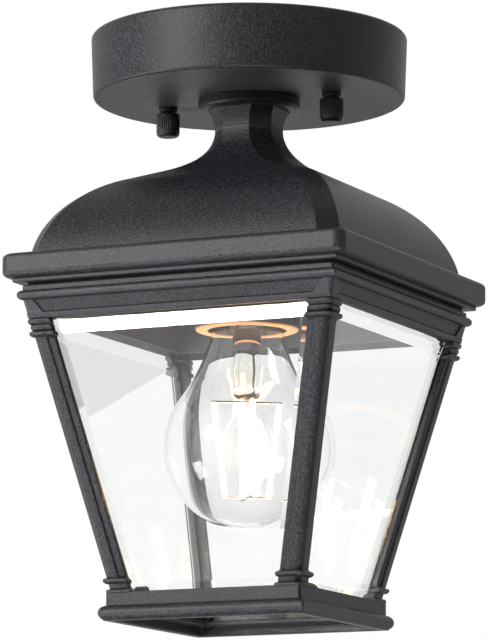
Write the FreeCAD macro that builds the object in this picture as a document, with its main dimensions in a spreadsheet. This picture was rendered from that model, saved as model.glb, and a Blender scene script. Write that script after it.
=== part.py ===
import FreeCAD, Part
import math
import os
from types import SimpleNamespace

import Sketcher

# Porch ceiling lantern. Millimetres, +Z up, origin at the middle of the ceiling face.
# The canopy hangs from the ceiling box, the roof hangs from the canopy on a threaded tube,
# and the glazed cage, open below, hangs from the roof. Every height below is negative.

DRIVING = [
    ("canopy_radius", 57.0, "canopy, at its lower edge"),
    ("canopy_flare", 0.9, "the rim is this much wider than the lower edge"),
    ("canopy_height", 23.4, "ceiling to canopy underside"),
    ("canopy_wall", 1.5, "pressed steel"),
    ("canopy_rim_round", 2.5, "rolled rim against the ceiling"),
    ("canopy_return", 1.0, "flat lip inside the rolled rim"),
    ("stud_spacing", 66.0, "between the two canopy studs"),
    ("stud_radius", 2.05, "machine thread"),
    ("thread_play", 0.05, "male thread in its tapped hole"),
    ("stud_play", 0.35, "stud in a clearance hole"),
    ("stud_reach", 6.4, "stud below the canopy"),
    ("bar_length", 103.0, "crossbar"),
    ("bar_width", 18.0, "crossbar"),
    ("bar_thickness", 1.6, "crossbar"),
    ("box_spacing", 88.9, "ceiling box screws"),
    ("slot_length", 7.6, "crossbar slot, end to end"),
    ("slot_width", 4.8, "crossbar slot"),
    ("stud_nut_flats", 8.7, "lock nut on a stud"),
    ("stud_nut_height", 3.2, "lock nut on a stud"),
    ("ground_offset", 17.0, "ground screw from the middle"),
    ("ground_radius", 1.9, "ground screw thread"),
    ("ground_head_radius", 4.0, "ground screw washer head"),
    ("ground_head_height", 2.6, "ground screw head"),
    ("cap_collar_radius", 3.5, "cap nut, ring against the canopy"),
    ("cap_collar_height", 1.6, "cap nut"),
    ("cap_waist_radius", 2.9, "cap nut"),
    ("cap_waist_height", 0.8, "cap nut"),
    ("cap_radius", 4.3, "cap nut, knurled barrel"),
    ("cap_height", 8.6, "cap nut, knurled barrel"),
    ("cap_dome", 3.0, "cap nut, domed end"),
    ("cap_round", 1.3, "cap nut, shoulder"),
    ("cap_knurls", 20, "cap nut, count of grooves"),
    ("cap_knurl_depth", 0.35, "cap nut groove"),
    ("tube_radius", 4.85, "threaded tube"),
    ("tube_bore", 3.5, "threaded tube, radius of the wire way"),
    ("tube_play", 0.35, "threaded tube in a clearance hole"),
    ("tube_rise", 8.0, "threaded tube above the canopy floor"),
    ("tube_drop", 32.4, "threaded tube below the roof's crown seat"),
    ("washer_radius", 8.0, "washers on the threaded tube"),
    ("washer_thickness", 1.0, "washers on the threaded tube"),
    ("tube_nut_flats", 13.6, "nuts on the threaded tube"),
    ("tube_nut_height", 4.2, "nuts on the threaded tube"),
    ("flange_radius", 18.6, "round foot of the neck"),
    ("flange_height", 4.3, "round foot of the neck"),
    ("flange_round", 1.2, "round foot of the neck, lower edge"),
    ("neck_top_half", 13.2, "neck half width under its foot"),
    ("neck_height", 6.9, "neck below its foot"),
    ("neck_half", 11.3, "half width where the neck meets the roof"),
    ("corner_leg", 6.0, "leg of the bevelled corners of neck and roof"),
    ("roof_proud", 1.45, "roof at the eave, beyond the posts' tops"),
    ("roof_height", 50.8, "roof above the fascia"),
    ("roof_wall", 2.2, "cast roof"),
    ("crown_thickness", 3.0, "flat crown that the tube clamps"),
    ("fascia_proud", 7.75, "square fascia slab, beyond the posts' tops"),
    ("fascia_height", 9.3, "square fascia slab"),
    ("fascia_round", 1.8, "fascia edges"),
    ("fascia_fall", 0.9, "fascia's top slopes down this far"),
    ("fascia_corner", 2.0, "leg of the eased fascia corners"),
    ("lip_proud", 4.35, "thin lip under the fascia, beyond the posts' tops"),
    ("lip_height", 1.6, "thin lip under the fascia"),
    ("groove_proud", 0.25, "groove under the lip, beyond the posts' tops"),
    ("groove_height", 1.0, "groove under the lip"),
    ("reed_proud", 1.6, "flat reed, beyond the posts' tops"),
    ("reed_height", 1.7, "flat reed"),
    ("bead_proud", 3.2, "round bead, beyond the posts' tops"),
    ("bead_height", 3.4, "round bead"),
    ("frieze_proud", 0.95, "frieze at its top, beyond the posts' tops"),
    ("frieze_height", 4.4, "frieze above its small lip"),
    ("frieze_lip", 0.6, "small lip stands this far out"),
    ("frieze_lip_height", 2.3, "small lip"),
    ("frame_wall", 7.6, "top frame, wall behind the frieze"),
    ("block_top_width", 4.6, "corner block of the top frame, at its top"),
    ("block_width", 7.2, "corner block of the top frame, at the post"),
    ("cage_half", 59.15, "half width over the posts, at their tops"),
    ("cage_foot_half", 36.8, "half width over the posts, at their feet"),
    ("cage_height", 97.6, "posts, top to foot"),
    ("post_width", 8.4, "post, along each face"),
    ("post_flange", 2.6, "post, wall in front of the glass"),
    ("post_corner", 2.6, "post, bevelled outer corner"),
    ("ring_height", 2.2, "rings at both ends of a post"),
    ("ring_large", 1.35, "large ring stands this far out"),
    ("ring_small", 0.75, "small ring stands this far out"),
    ("neckring_gap", 1.7, "between the two rings at a post's foot"),
    ("glass_thickness", 3.0, "bevelled glass"),
    ("glass_play", 0.1, "glass behind a post or a frieze"),
    ("glass_mitre", 0.3, "glass edge from the mitre line"),
    ("glass_bevel", 8.0, "width of the bevel on the outer face"),
    ("glass_edge", 1.26, "glass left at the edge of the bevel"),
    ("glass_top_lap", 2.5, "glass behind the frieze"),
    ("band_half", 38.0, "bottom frame band"),
    ("band_lap", 1.1, "band above the feet of the posts"),
    ("band_height", 3.7, "bottom frame band below the post feet"),
    ("sill_half", 40.24, "half round bead of the bottom frame"),
    ("sill_height", 5.0, "half round bead of the bottom frame"),
    ("base_half", 38.9, "underside of the bottom frame"),
    ("base_height", 0.4, "plain edge under the half round bead"),
    ("opening_half", 31.2, "open square that the bulb goes through"),
    ("ledge_depth", 5.0, "glass ledge, below the band's upper edge"),
    ("ledge_plate", 1.6, "glass ledge, thickness"),
    ("rim_half", 35.8, "inner face of the rim under the ledge"),
    ("ledge_half", 34.9, "glass ledge recess"),
    ("clip_length", 4.6, "small glass clips"),
    ("clip_height", 1.8, "small glass clips"),
    ("screw_radius", 1.5, "small assembly screws"),
    ("screw_head_radius", 2.7, "small assembly screws"),
    ("screw_head_height", 1.6, "small assembly screws"),
    ("screw_length", 8.0, "small assembly screws"),
    ("holder_radius", 19.0, "lampholder"),
    ("holder_height", 38.8, "lampholder"),
    ("holder_roof", 5.6, "lampholder, solid above the screw shell"),
    ("holder_cap_radius", 13.5, "metal cap on the lampholder"),
    ("holder_cap_height", 5.0, "metal cap on the lampholder"),
    ("shell_radius", 13.3, "lampholder screw shell, crests"),
    ("shell_wall", 0.5, "lampholder screw shell"),
    ("contact_thickness", 0.6, "lampholder contact"),
    ("contact_play", 0.2, "bulb contact to lampholder contact"),
    ("shell_length", 26.0, "lampholder screw shell"),
    ("thread_pitch", 3.629, "lamp thread"),
    ("thread_depth", 0.6, "lamp thread"),
    ("thread_turns", 5, "turns of thread"),
    ("base_radius", 13.0, "bulb base, over the thread"),
    ("bulb_radius", 30.0, "bulb, widest"),
    ("bulb_length", 105.0, "bulb, over all"),
    ("bulb_neck_radius", 11.7, "bulb glass where it enters the base"),
    ("bulb_wall", 0.9, "bulb glass"),
    ("bulb_base_length", 20.0, "bulb base, threaded sleeve"),
    ("bulb_base_wall", 0.35, "bulb base, threaded sleeve"),
    ("tip_radius", 4.6, "bulb contact"),
    ("tip_height", 1.0, "bulb contact"),
    ("insulator_height", 4.0, "bulb insulator"),
    ("neck_in_base", 5.0, "bulb glass inside the base"),
    ("stem_rise", 17.6, "glass stem's end above the bulb's centre"),
    ("stem_radius", 5.0, "glass stem"),
    ("filament_radius", 0.9, "light rod"),
    ("filament_length", 33.5, "light rod"),
    ("filament_count", 4, "light rods"),
    ("filament_drop", 17.5, "feet of the light rods below the middle of the bulb"),
    ("filament_ring", 12.0, "heads of the light rods from the axis"),
    ("filament_foot_ring", 8.0, "feet of the light rods from the axis"),
    ("wire_radius", 0.5, "wires that carry the light rods"),
    ("wire_gap", 0.2, "weld between a light rod and its wire"),
    ("lead_radius", 1.15, "insulated lead"),
    ("lead_spread", 1.6, "lead from the tube's axis"),
    ("connector_radius", 4.6, "twist-on connector, at its mouth"),
    ("connector_length", 17.0, "twist-on connector"),
]

doc = FreeCAD.newDocument("porch_ceiling_lantern")
sheet = doc.addObject("Spreadsheet::Sheet", "Sizes")


class Size:
    """A length of the sheet, or arithmetic on such lengths, kept as a number and a formula."""

    def __init__(self, number, formula):
        self.number = number
        self.formula = formula

    def join(self, other, sign, number):
        return Size(number, f"({self.formula} {sign} {as_size(other).formula})")

    def __add__(self, other):
        return self.join(other, "+", self.number + as_size(other).number)

    def __sub__(self, other):
        return self.join(other, "-", self.number - as_size(other).number)

    def __mul__(self, other):
        return self.join(other, "*", self.number * as_size(other).number)

    def __truediv__(self, other):
        return self.join(other, "/", self.number / as_size(other).number)

    def __neg__(self):
        return self * -1

    def __radd__(self, other):
        return as_size(other) + self

    def __rsub__(self, other):
        return as_size(other) - self

    def __rmul__(self, other):
        return as_size(other) * self


def as_size(value):
    if isinstance(value, Size):
        return value
    return Size(float(value), f"({float(value):.9f})")


def fill_sheet():
    """Write the driving dimensions to the sheet and return them by name."""
    sizes = SimpleNamespace()
    for row, (alias, number, note) in enumerate(DRIVING, start=1):
        sheet.set(f"A{row}", alias)
        sheet.set(f"B{row}", str(number))
        sheet.set(f"C{row}", note)
        sheet.setAlias(f"B{row}", alias)
        setattr(sizes, alias, Size(float(number), f"Sizes.{alias}"))
    doc.recompute()
    return sizes


S = fill_sheet()
COUNTS = {name: int(getattr(S, name).number) for name in ("cap_knurls", "thread_turns", "filament_count")}
ZERO = as_size(0)

# Half widths of the roof and the cornice, all set out from the posts' tops.
roof_half = S.cage_half + S.roof_proud
fascia_half = S.cage_half + S.fascia_proud
lip_half = S.cage_half + S.lip_proud
groove_half = S.cage_half + S.groove_proud
reed_half = S.cage_half + S.reed_proud
bead_half = S.cage_half + S.bead_proud
frieze_half = S.cage_half + S.frieze_proud
REACH = fascia_half * 3     # longer than the lantern from corner to corner
HALF_ROOT = math.sqrt(0.5)

# Levels, from the ceiling down.
canopy_under = -S.canopy_height
canopy_floor = canopy_under + S.canopy_wall
flange_under = canopy_under - S.flange_height
crown = flange_under - S.neck_height
crown_under = crown - S.crown_thickness
eave = crown - S.roof_height
fascia_under = eave - S.fascia_height
lip_under = fascia_under - S.lip_height
groove_under = lip_under - S.groove_height
reed_under = groove_under - S.reed_height
bead_under = reed_under - S.bead_height
frieze_under = bead_under - S.frieze_height
frame_under = frieze_under - S.frieze_lip_height
post_foot = frame_under - S.cage_height
band_top = post_foot + S.band_lap
band_under = post_foot - S.band_height
sill_under = band_under - S.sill_height
base_under = sill_under - S.base_height
ledge = band_top - S.ledge_depth
ledge_under = ledge - S.ledge_plate
tube_top = canopy_floor + S.tube_rise
tube_bottom = crown_under - S.tube_drop
holder_under = tube_bottom - S.holder_height
taper = (S.cage_half - S.cage_foot_half) / S.cage_height


def cage_at(level):
    """Half width over the posts' outer faces at a level."""
    return S.cage_half - (frame_under - level) * taper


# ---- how outlines, turned pieces and four-sided pieces are drawn ----

def is_arc(step):
    return isinstance(step[0], tuple)


def end_of(step):
    return step[1] if is_arc(step) else step


def vector(point):
    return FreeCAD.Vector(as_size(point[0]).number, as_size(point[1]).number, 0)


def hold_point(sketch, geometry, position, point):
    """Tie one point of a sketch to its two coordinates in the sheet."""
    for kind, axis, coordinate in (("DistanceX", -2, point[0]), ("DistanceY", -1, point[1])):
        coordinate = as_size(coordinate)
        if coordinate.formula == ZERO.formula:
            sketch.addConstraint(Sketcher.Constraint("PointOnObject", geometry, position, axis))
            continue
        held = sketch.addConstraint(
            Sketcher.Constraint(kind, -1, 1, geometry, position, coordinate.number))
        sketch.setExpression(f"Constraints[{held}]", coordinate.formula)


def draw(sketch, outline):
    """Close an outline of lines, and of arcs given as (a point on the way, the end)."""
    start = end_of(outline[0])
    ends = []
    for step in list(outline[1:]) + [outline[0]]:
        finish = end_of(step)
        first, last = 1, 2
        if is_arc(step):
            corners = [vector(start), vector(step[0]), vector(finish)]
            if (corners[1] - corners[0]).cross(corners[2] - corners[1]).z < 0:
                corners.reverse()
                first, last = 2, 1
            edge = Part.Arc(*corners)
        else:
            edge = Part.LineSegment(vector(start), vector(finish))
        index = sketch.addGeometry(edge, False)
        ends.append((index, first, last))
        if is_arc(step):
            on_way = sketch.addGeometry(Part.Point(vector(step[0])), True)
            hold_point(sketch, on_way, 1, step[0])
            sketch.addConstraint(Sketcher.Constraint("PointOnObject", on_way, 1, index))
        hold_point(sketch, index, first, start)
        start = finish
    for (index, _, last), (follower, first, _) in zip(ends, ends[1:] + ends[:1]):
        sketch.addConstraint(Sketcher.Constraint("Coincident", index, last, follower, first))


def draw_circle(sketch, across, along, radius):
    circle = Part.Circle(vector((across, along)), FreeCAD.Vector(0, 0, 1), as_size(radius).number)
    index = sketch.addGeometry(circle, False)
    hold_point(sketch, index, 3, (across, along))
    held = sketch.addConstraint(Sketcher.Constraint("Radius", index, radius.number))
    sketch.setExpression(f"Constraints[{held}]", radius.formula)


def new_body(label):
    body = doc.addObject("PartDesign::Body", label)
    body.Label = label
    return body


def body_sketch(body, role, level=None):
    """A sketch on one of the body's own planes, raised to a level."""
    sketch = body.newObject("Sketcher::SketchObject", body.Label + "_sketch")
    plane = next(item for item in body.Origin.OriginFeatures if item.Role == role)
    sketch.AttachmentSupport = [(plane, "")]
    sketch.MapMode = "FlatFace"
    if level is not None:
        sketch.setExpression("AttachmentOffset.Base.z", level.formula)
    return sketch


def revolve(body, outline):
    sketch = body_sketch(body, "XZ_Plane")
    draw(sketch, outline)
    turned_feature = body.newObject("PartDesign::Revolution", body.Label + "_turned")
    turned_feature.Profile = sketch
    turned_feature.ReferenceAxis = (sketch, ["V_Axis"])
    turned_feature.Angle = 360
    body.Tip = turned_feature
    doc.recompute()
    if body.Shape.isNull():
        raise RuntimeError(body.Label + ": nothing was turned")
    return body


def turned(label, outline):
    return revolve(new_body(label), outline)


def pad(body, level, height, draw_shapes):
    sketch = body_sketch(body, "XY_Plane", level)
    draw_shapes(sketch)
    feature = body.newObject("PartDesign::Pad", body.Label + "_pad")
    feature.Profile = sketch
    feature.setExpression("Length", height.formula)
    body.Tip = feature
    doc.recompute()
    return feature


def pocket(body, level, depth, draw_shapes):
    """Cut down from a level; the volume shows that the cut met the solid."""
    before = body.Shape.Volume
    sketch = body_sketch(body, "XY_Plane", level)
    draw_shapes(sketch)
    feature = body.newObject("PartDesign::Pocket", body.Label + "_pocket")
    feature.Profile = sketch
    feature.setExpression("Length", depth.formula)
    body.Tip = feature
    doc.recompute()
    if body.Shape.Volume >= before - 1e-6:
        raise RuntimeError(body.Label + ": a pocket cut nothing")
    return feature


def place(piece, across=ZERO, along=ZERO, level=ZERO):
    for axis, size in (("x", across), ("y", along), ("z", level)):
        piece.setExpression(f"Placement.Base.{axis}", as_size(size).formula)
    return piece


def cylinder(label, radius, height, across=ZERO, along=ZERO, level=ZERO):
    piece = doc.addObject("Part::Cylinder", label)
    piece.setExpression("Radius", radius.formula)
    piece.setExpression("Height", as_size(height).formula)
    return place(piece, across, along, level)


def block(label, length, width, height, across=ZERO, along=ZERO, level=ZERO):
    """A box whose middle is at (across, along) and whose underside is at level."""
    piece = doc.addObject("Part::Box", label)
    piece.setExpression("Length", length.formula)
    piece.setExpression("Width", width.formula)
    piece.setExpression("Height", height.formula)
    return place(piece, across - length / 2, along - width / 2, level)


def hexagon(label, flats, height, across=ZERO, along=ZERO, level=ZERO):
    piece = doc.addObject("Part::Prism", label)
    piece.Polygon = 6
    piece.setExpression("Circumradius", (flats / math.sqrt(3)).formula)
    piece.setExpression("Height", height.formula)
    return place(piece, across, along, level)


def cut(label, base, tool):
    piece = doc.addObject("Part::Cut", label)
    piece.Base = base
    piece.Tool = tool
    return piece


def several(kind, label, pieces):
    piece = doc.addObject(kind, label)
    piece.Shapes = pieces
    return piece


def fuse(label, pieces):
    return several("Part::MultiFuse", label, pieces)


def common(label, pieces):
    return several("Part::MultiCommon", label, pieces)


def group(label, pieces):
    piece = doc.addObject("Part::Compound", label)
    piece.Links = pieces
    return piece


def ring(label, outer, inner, height, across=ZERO, along=ZERO, level=ZERO):
    """A washer, or a hexagon nut where outer is a hexagon already drawn."""
    if isinstance(outer, Size):
        outer = cylinder(label + "_outer", outer, height, across, along, level)
    bore = cylinder(label + "_bore", inner, height + 2, across, along, level - 1)
    return cut(label, outer, bore)


def prism(label, outlines, heading):
    """Upright outlines, drawn along a heading from the axis, extruded square to it both ways."""
    sketch = doc.addObject("Sketcher::SketchObject", label + "_sketch")
    turn = FreeCAD.Rotation(FreeCAD.Vector(0, 0, 1), heading)
    tilt = FreeCAD.Rotation(FreeCAD.Vector(1, 0, 0), 90)
    sketch.Placement = FreeCAD.Placement(FreeCAD.Vector(), turn.multiply(tilt))
    for outline in outlines:
        draw(sketch, outline)
    piece = doc.addObject("Part::Extrusion", label)
    piece.Base = sketch
    piece.DirMode = "Normal"
    piece.Symmetric = True
    piece.Solid = True
    piece.setExpression("LengthFwd", REACH.formula)
    return piece


def flip(point):
    return (-as_size(point[0]), point[1])


def backwards(steps):
    """The same steps from the last end to the first."""
    back = [end_of(steps[-1])]
    for before, step in zip(reversed(steps[:-1]), reversed(steps[1:])):
        finish = end_of(before)
        back.append((step[0], finish) if is_arc(step) else finish)
    return back


def mirrored(steps):
    """Both sides of an outline that is given from the top down on one side of the axis."""
    return list(steps) + flipped(backwards(steps))


def flipped(outline):
    return [(flip(step[0]), flip(step[1])) if is_arc(step) else flip(step) for step in outline]


def moved(steps, change):
    """The same steps with each point changed."""
    return [(change(step[0]), change(step[1])) if is_arc(step) else change(step) for step in steps]


def to_corner(leg):
    """From a half width to the distance of the bevelled corner, measured along the diagonal."""
    return lambda point: ((as_size(point[0]) * 2 - leg) * HALF_ROOT, point[1])


def four_sided(label, steps, leg=None):
    """A square piece with one outline on all four sides, and bevelled corners if they have a leg."""
    sides = [prism(label + "_ew", [mirrored(steps)], 0), prism(label + "_ns", [mirrored(steps)], 90)]
    if leg is not None:
        corner = mirrored(moved(steps, to_corner(leg)))
        sides += [prism(label + "_corner_a", [corner], 45), prism(label + "_corner_b", [corner], 135)]
    return common(label, sides)


def rounded(corner, before, after):
    """A quarter round that replaces a square corner, between two points at its radius."""
    way = tuple(as_size(corner[i]) * (2 * HALF_ROOT - 1) + (as_size(before[i]) + after[i]) * (1 - HALF_ROOT)
                for i in (0, 1))
    return (way, after)


# ---- ceiling fixing ----

def rectangle(half_length, half_width):
    return [(-half_length, -half_width), (half_length, -half_width),
            (half_length, half_width), (-half_length, half_width)]


def slot(middle, length, width):
    """A slot along X with round ends."""
    straight = (length - width) / 2
    round_end = width / 2
    return [((middle - straight - round_end, ZERO), (middle - straight, -round_end)),
            (middle + straight, -round_end),
            ((middle + straight + round_end, ZERO), (middle + straight, round_end)),
            (middle - straight, round_end)]


def draw_bar_holes(sketch):
    for side in (-1, 1):
        draw(sketch, slot(S.box_spacing * (side / 2), S.slot_length, S.slot_width))
        draw_circle(sketch, S.stud_spacing * (side / 2), ZERO, S.stud_radius + S.thread_play)
    draw_circle(sketch, S.ground_offset, ZERO, S.ground_radius + S.thread_play)
    draw_circle(sketch, ZERO, ZERO, S.tube_radius + S.thread_play)


def crossbar():
    body = new_body("crossbar")
    outline = rectangle(S.bar_length / 2, S.bar_width / 2)
    pad(body, -S.bar_thickness, S.bar_thickness, lambda sketch: draw(sketch, outline))
    pocket(body, ZERO, S.bar_thickness, draw_bar_holes)
    return body


def mounting_studs():
    length = S.canopy_height + S.stud_reach
    return group("mounting_studs", [
        cylinder(f"stud_{side}", S.stud_radius, length, S.stud_spacing * (turn / 2), ZERO, -length)
        for side, turn in (("left", -1), ("right", 1))])


def stud_lock_nuts():
    nuts = []
    for side, turn in (("left", -1), ("right", 1)):
        where = (S.stud_spacing * (turn / 2), ZERO, -S.bar_thickness - S.stud_nut_height)
        outer = hexagon(f"lock_nut_hexagon_{side}", S.stud_nut_flats, S.stud_nut_height, *where)
        nuts.append(ring(f"lock_nut_{side}", outer, S.stud_radius + S.thread_play,
                         S.stud_nut_height, *where))
    return group("stud_lock_nuts", nuts)


def ground_screw():
    head_under = -S.bar_thickness - S.ground_head_height
    return fuse("ground_screw", [
        cylinder("ground_screw_thread", S.ground_radius, S.bar_thickness, S.ground_offset, ZERO,
                 -S.bar_thickness),
        cylinder("ground_screw_washer", S.ground_head_radius, S.ground_head_height / 3,
                 S.ground_offset, ZERO, -S.bar_thickness - S.ground_head_height / 3),
        hexagon("ground_screw_hexagon", S.ground_head_radius * 1.5, S.ground_head_height,
                S.ground_offset, ZERO, head_under)])


def canopy():
    """A round pan, open towards the ceiling, with a rolled rim."""
    low = S.canopy_radius
    high = S.canopy_radius + S.canopy_flare
    wall = S.canopy_wall
    roll = S.canopy_rim_round
    inner_roll = roll - wall
    hole = S.tube_radius + S.tube_play
    body = turned("canopy", [
        (hole, canopy_under),
        (low - wall, canopy_under),
        rounded((low, canopy_under), (low - wall, canopy_under), (low, canopy_floor)),
        (high, -roll),
        rounded((high, ZERO), (high, -roll), (high - roll, ZERO)),
        (high - roll - S.canopy_return, ZERO),
        (high - roll - S.canopy_return, -wall),
        (high - roll, -wall),
        rounded((high - wall, -wall), (high - roll, -wall), (high - roll + inner_roll, -roll)),
        (low - wall, canopy_floor),
        (hole, canopy_floor)])

    def draw_holes(sketch):
        for side in (-1, 1):
            draw_circle(sketch, S.stud_spacing * (side / 2), ZERO, S.stud_radius + S.stud_play)
    pocket(body, canopy_floor, S.canopy_wall, draw_holes)
    return body


def cap_nut(label, side):
    """Blind knurled nut: a ring against the canopy, a waist, and a domed knurled barrel."""
    waist_top = -S.cap_collar_height
    waist_low = waist_top - S.cap_waist_height
    barrel_low = waist_low - S.cap_height
    dome_top = barrel_low + S.cap_dome
    bore = S.stud_radius + S.thread_play
    bore_end = -S.stud_reach - S.thread_play
    body = turned(label, [
        (bore, ZERO),
        (S.cap_collar_radius, ZERO),
        (S.cap_collar_radius, waist_top),
        (S.cap_waist_radius, waist_top),
        (S.cap_waist_radius, waist_low),
        rounded((S.cap_radius, waist_low), (S.cap_waist_radius, waist_low),
                (S.cap_radius, waist_low - S.cap_round)),
        (S.cap_radius, dome_top),
        rounded((S.cap_radius, barrel_low), (S.cap_radius, dome_top),
                (S.cap_radius - S.cap_dome, barrel_low)),
        (ZERO, barrel_low),
        (ZERO, bore_end),
        (bore, bore_end)])
    groove_deep = S.cap_radius - S.cap_knurl_depth
    groove_out = S.cap_radius + S.cap_knurl_depth
    half = S.cap_knurl_depth * 1.3
    groove = [(groove_deep, ZERO), (groove_out, -half), (groove_out, half)]
    cut_feature = pocket(body, waist_low - S.cap_round, S.cap_height - S.cap_round - S.cap_dome,
                         lambda sketch: draw(sketch, groove))
    pattern = body.newObject("PartDesign::PolarPattern", label + "_knurls")
    pattern.Originals = [cut_feature]
    pattern.Axis = (cut_feature.Profile[0], ["N_Axis"])
    pattern.Angle = 360
    pattern.Occurrences = COUNTS["cap_knurls"]
    body.Tip = pattern
    return place(body, S.stud_spacing * (side / 2), ZERO, canopy_under)


# ---- the threaded tube and what it clamps ----

def hexagon_nut(label, level):
    outer = hexagon(label + "_hexagon", S.tube_nut_flats, S.tube_nut_height, ZERO, ZERO, level)
    return ring(label, outer, S.tube_radius + S.thread_play, S.tube_nut_height, ZERO, ZERO, level)


def washer(label, level):
    return ring(label, S.washer_radius, S.tube_radius + S.tube_play, S.washer_thickness,
                ZERO, ZERO, level)


def threaded_tube():
    return turned("threaded_tube", [(S.tube_bore, tube_bottom), (S.tube_radius, tube_bottom),
                                    (S.tube_radius, tube_top), (S.tube_bore, tube_top)])


def neck_collar():
    """Round foot against the canopy, then a short bevelled square neck that narrows to the roof."""
    hole = S.tube_radius + S.tube_play
    corner = S.flange_round
    foot = turned("neck_foot", [
        (hole, flange_under),
        (S.flange_radius - corner, flange_under),
        rounded((S.flange_radius, flange_under), (S.flange_radius - corner, flange_under),
                (S.flange_radius, flange_under + corner)),
        (S.flange_radius, canopy_under),
        (hole, canopy_under)])
    spread = S.neck_top_half - S.neck_half
    flare = four_sided("neck_flare", [
        (S.neck_top_half, flange_under),
        ((S.neck_half + spread * 0.3, flange_under - S.neck_height * 0.45), (S.neck_half, crown))],
        S.corner_leg)
    bore = cylinder("neck_bore", hole, S.neck_height + 2, ZERO, ZERO, crown - 1)
    return fuse("neck_collar", [foot, cut("neck_below_foot", flare, bore)])


# ---- roof ----

# The bell curve of the roof: shares of its spread and of its height, from the neck to the eave.
BELL = [
    (0.000, 0.000),
    ((0.022, 0.114), (0.091, 0.213)),
    ((0.174, 0.281), (0.318, 0.356)),
    (0.505, 0.429),
    ((0.813, 0.626), (1.000, 1.000)),
]


def bell(offset, first_level):
    """The bell curve, set in by an offset and starting at a level."""
    spread = roof_half - S.neck_half

    def on_curve(share):
        return (S.neck_half + spread * share[0] - offset, crown - S.roof_height * share[1] - offset)
    steps = moved(BELL, on_curve)
    return [(steps[0][0], first_level)] + steps[1:]


def roof():
    """One hollow casting: bell-shaped roof with bevelled corners over a square fascia."""
    shell = four_sided("roof_bell", bell(ZERO, crown), S.corner_leg)
    edge = S.fascia_round
    top = eave - S.fascia_fall
    fascia = four_sided("roof_fascia", [
        (roof_half, eave),
        (fascia_half - edge, top),
        rounded((fascia_half, top), (fascia_half - edge, top), (fascia_half, top - edge)),
        (fascia_half, fascia_under + edge),
        rounded((fascia_half, fascia_under), (fascia_half, fascia_under + edge),
                (fascia_half - edge, fascia_under))], S.fascia_corner)
    inside = roof_half - S.roof_wall
    mouth = groove_half - S.frame_wall
    hollow = four_sided("roof_hollow", bell(S.roof_wall, crown_under) + [
        (inside, fascia_under + S.roof_wall),
        (mouth, fascia_under + S.roof_wall),
        (mouth, fascia_under - 1)], S.corner_leg - S.roof_wall)
    tube_hole = cylinder("roof_tube_hole", S.tube_radius + S.tube_play, S.crown_thickness + 4,
                         ZERO, ZERO, crown_under - 2)
    holes = [cylinder(f"roof_screw_hole_{turn}", S.screw_radius + S.stud_play, S.roof_wall + 2,
                      *screw_place(turn), fascia_under - 1) for turn in range(4)]
    solid = fuse("roof_outside", [shell, fascia])
    return cut("roof", solid, fuse("roof_cuts", [hollow, tube_hole] + holes))


def screw_place(turn):
    """The roof screws stand in the middle of each side, over the wall of the top frame."""
    reach = groove_half - S.frame_wall / 2
    return [(reach, ZERO), (ZERO, reach), (-reach, ZERO), (ZERO, -reach)][turn]


def roof_screws():
    screws = []
    for turn in range(4):
        seat = fascia_under + S.roof_wall
        shank = cylinder(f"roof_screw_shank_{turn}", S.screw_radius, S.screw_length,
                         *screw_place(turn), seat - S.screw_length)
        head = cylinder(f"roof_screw_head_{turn}", S.screw_head_radius, S.screw_head_height,
                        *screw_place(turn), seat)
        screws.append(fuse(f"roof_screw_{turn}", [shank, head]))
    return group("roof_screws", screws)


# ---- cage ----

rebate_top = frame_under + S.glass_top_lap + S.glass_play


def behind_flange(level, play=ZERO):
    return cage_at(level) - S.post_flange - play


def corner_posts(label, steps, heading, both_sides):
    """Upright outline of a post, crossed with itself at a right angle; one corner or all four."""
    outlines = [steps, flipped(steps)] if both_sides else [steps]
    return common(label, [prism(label + "_a", outlines, heading), prism(label + "_b", outlines, heading + 90)])


def top_frame():
    """Square cornice: lip, groove, reed, bead, and a leaning frieze with a small lip and corner blocks."""
    frieze_low = frieze_half - (bead_under - frieze_under) * taper
    lip_low = frieze_low + S.frieze_lip - (frieze_under - frame_under) * taper
    outside = four_sided("frame_mouldings", [
        (lip_half, fascia_under),
        (lip_half, lip_under),
        (groove_half, lip_under),
        (groove_half, groove_under),
        (reed_half, groove_under),
        (reed_half, reed_under),
        ((bead_half, (reed_under + bead_under) / 2), (frieze_half, bead_under)),
        (frieze_low, frieze_under),
        (frieze_low + S.frieze_lip, frieze_under),
        (lip_low, frame_under)])
    block_inner = cage_at(bead_under) - S.block_top_width
    blocks = corner_posts("frame_blocks", [
        (block_inner, bead_under),
        (cage_at(bead_under), bead_under),
        (S.cage_half, frame_under),
        (S.cage_half - S.block_width, frame_under)], 0, True)
    clear = groove_half - S.frame_wall
    inside = four_sided("frame_inside", [
        (clear, fascia_under + 1),
        (clear, rebate_top),
        (behind_flange(rebate_top), rebate_top),
        (behind_flange(frame_under - 1), frame_under - 1)])
    taps = [cylinder(f"frame_screw_hole_{turn}", S.screw_radius + S.thread_play, S.screw_length,
                     *screw_place(turn), fascia_under + S.roof_wall - S.screw_length)
            for turn in range(4)]
    return cut("top_frame", fuse("frame_outside", [outside, blocks]), fuse("frame_cuts", [inside] + taps))


def post_outline(side):
    """The outer or inner edge of a post from top to foot; side is +1 for outer, -1 for inner."""
    rings = [(frame_under, S.ring_small), (frame_under - S.ring_height, S.ring_small * 0.6),
             (frame_under - S.ring_height * 2, S.ring_large)]
    low_ring = post_foot + S.ring_height
    rings += [(low_ring + S.neckring_gap + S.ring_height, S.ring_large), (low_ring, S.ring_large)]
    width = ZERO if side > 0 else S.post_width
    steps = []
    for top, proud in rings:
        middle = top - S.ring_height / 2
        low = top - S.ring_height
        if not steps or end_of(steps[-1])[1].number - top.number > 1e-6:
            steps.append((cage_at(top) - width, top))
        steps.append(((cage_at(middle) - width + proud * side, middle), (cage_at(low) - width, low)))
    return steps


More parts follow.
